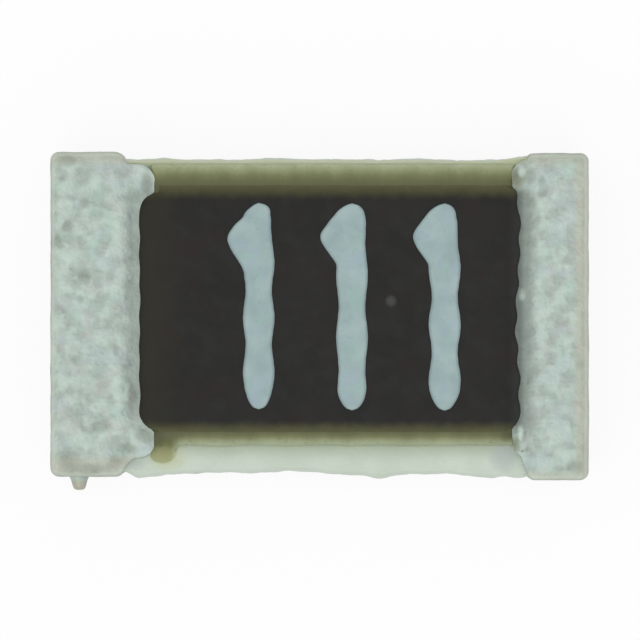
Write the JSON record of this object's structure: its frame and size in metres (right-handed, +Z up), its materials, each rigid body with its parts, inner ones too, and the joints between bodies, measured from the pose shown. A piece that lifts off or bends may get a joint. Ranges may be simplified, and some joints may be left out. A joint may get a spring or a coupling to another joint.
{
  "type": "smd chip resistor",
  "caption": "Thick-film surface-mount chip resistor: alumina block with tinned wrap-round ends, black overcoat and a printed value code.",
  "frame": {"origin": "middle of the underside, on the plane of the two solder pads", "axes": "+X along the length in the reading direction of the marking, +Y towards the back edge, +Z up out of the marked face"},
  "size_m": [0.002, 0.0013, 0.0006],
  "materials": {
    "alumina": "matt off-white, snapped sides",
    "printed_silver": "fired thick-film silver, matt",
    "resistor_film": "fired oxide and glass, dark and matt",
    "olive_glass": "smooth fired glass, olive",
    "black_resin": "satin black resin",
    "marking_ink": "matt pale blue-grey print",
    "end_silver": "dipped conductive coat, matt",
    "nickel": "electroplated, satin",
    "tin": "electroplated matt tin, mottled grain"
  },
  "bodies": {
    "root": {"alumina_body": "alumina", "left_bottom_electrode": "printed_silver", "right_bottom_electrode": "printed_silver", "left_top_electrode": "printed_silver", "right_top_electrode": "printed_silver", "resistive_film": "resistor_film", "glass_coat": "olive_glass", "overcoat": "black_resin", "value_marking": "marking_ink", "left_end_coat": "end_silver", "right_end_coat": "end_silver", "left_nickel_barrier": "nickel", "right_nickel_barrier": "nickel", "left_tin_plating": "tin", "right_tin_plating": "tin"}
  },
  "joints": []
}
